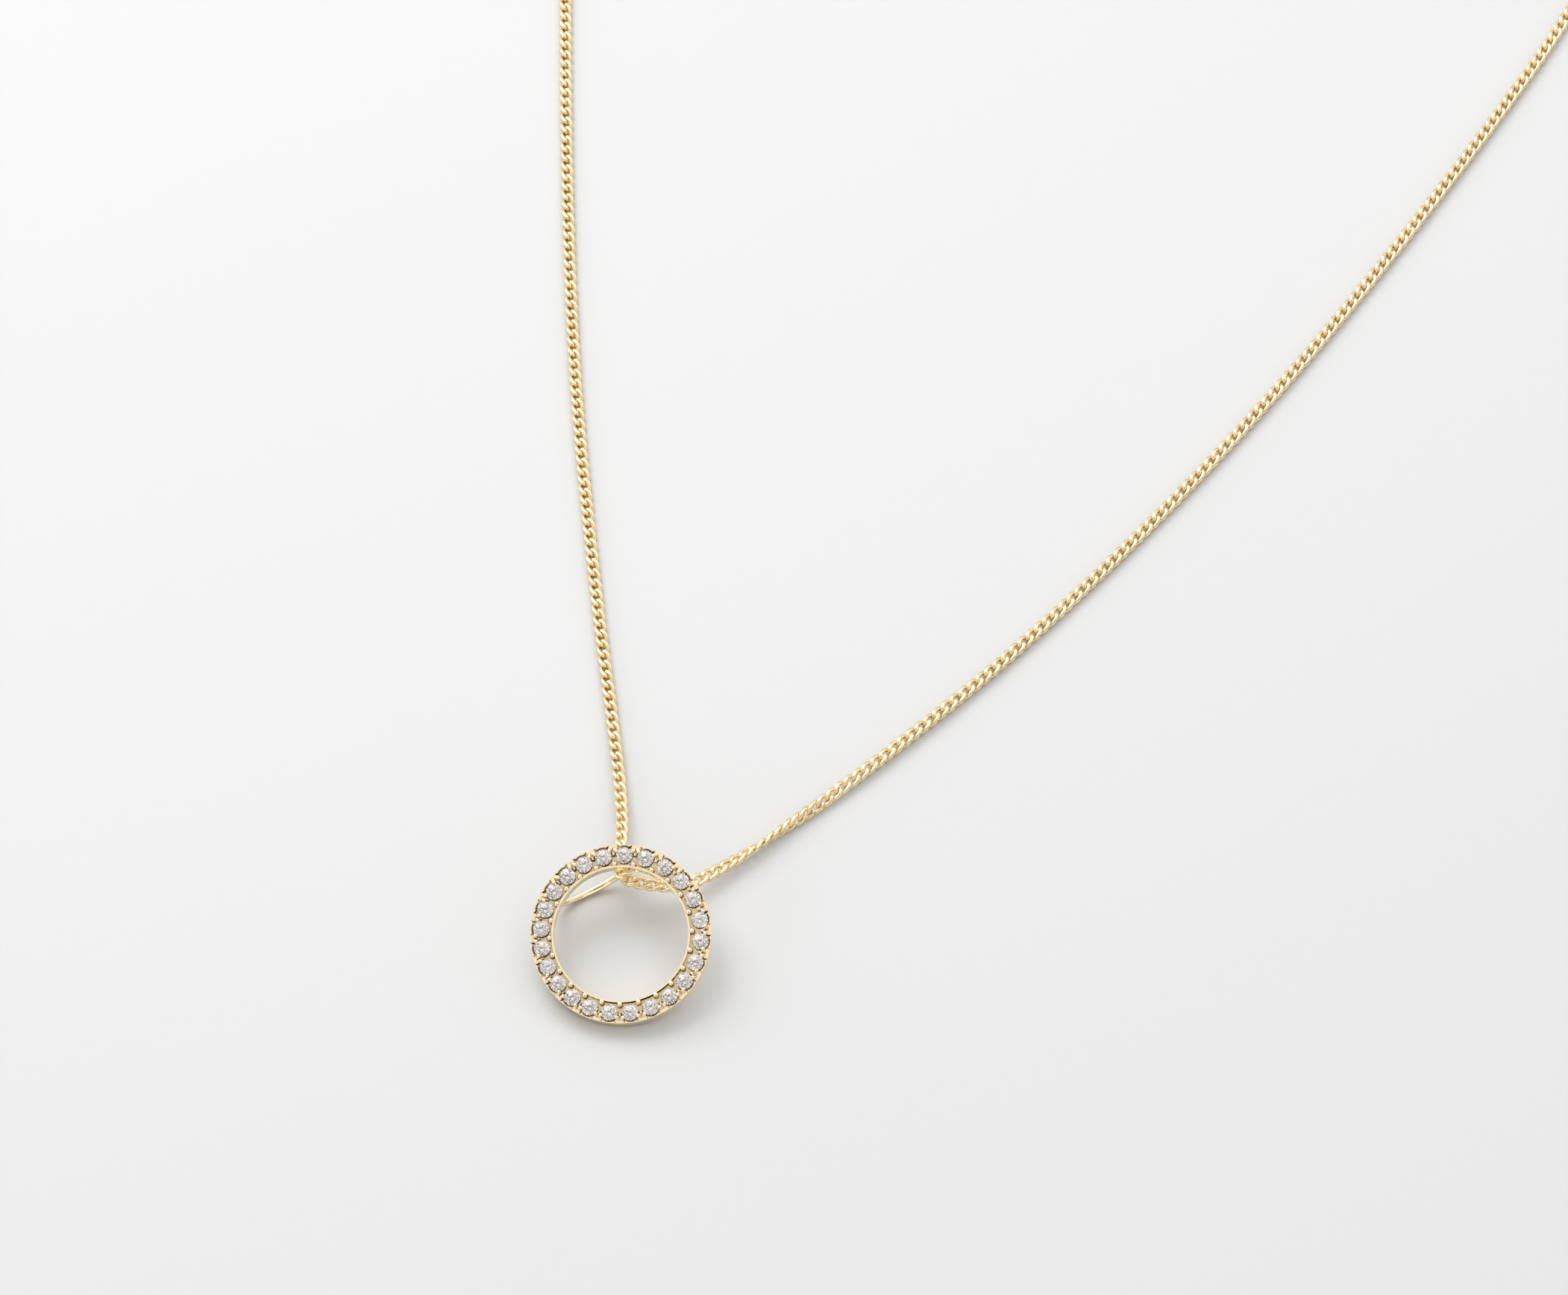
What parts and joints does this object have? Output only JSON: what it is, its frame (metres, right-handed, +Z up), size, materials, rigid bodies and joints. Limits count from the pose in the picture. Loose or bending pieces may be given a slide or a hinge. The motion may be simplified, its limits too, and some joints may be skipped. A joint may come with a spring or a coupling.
{
  "type": "open circle pendant",
  "caption": "Fine curb chain necklace with a flat open circle pendant, set all round with small round brilliant stones and hung from a wire bail behind it.",
  "frame": {"origin": "on the table, in the middle of the box that holds the laid necklace", "axes": "+Z up from the table, +Y from the pendant's end of the loop to the clasp, +X to the right seen from above with the clasp at the top"},
  "size_m": [0.0881, 0.2002, 0.0049],
  "materials": {
    "pendant_gold": "polished pale gold",
    "chain_gold": "polished yellow gold",
    "stone": "clear, faceted and polished"
  },
  "bodies": {
    "root": {"pendant_setting": "pendant_gold", "chain": "chain_gold", "clasp": "chain_gold", "clasp_ring": "chain_gold", "end_ring": "chain_gold", "stone_01": "stone", "stone_02": "stone", "stone_03": "stone", "stone_04": "stone", "stone_05": "stone", "stone_06": "stone", "stone_07": "stone", "stone_08": "stone", "stone_09": "stone", "stone_10": "stone", "stone_11": "stone", "stone_12": "stone", "stone_13": "stone", "stone_14": "stone", "stone_15": "stone", "stone_16": "stone", "stone_17": "stone", "stone_18": "stone", "stone_19": "stone", "stone_20": "stone", "stone_21": "stone", "stone_22": "stone", "stone_23": "stone", "stone_24": "stone"}
  },
  "joints": []
}
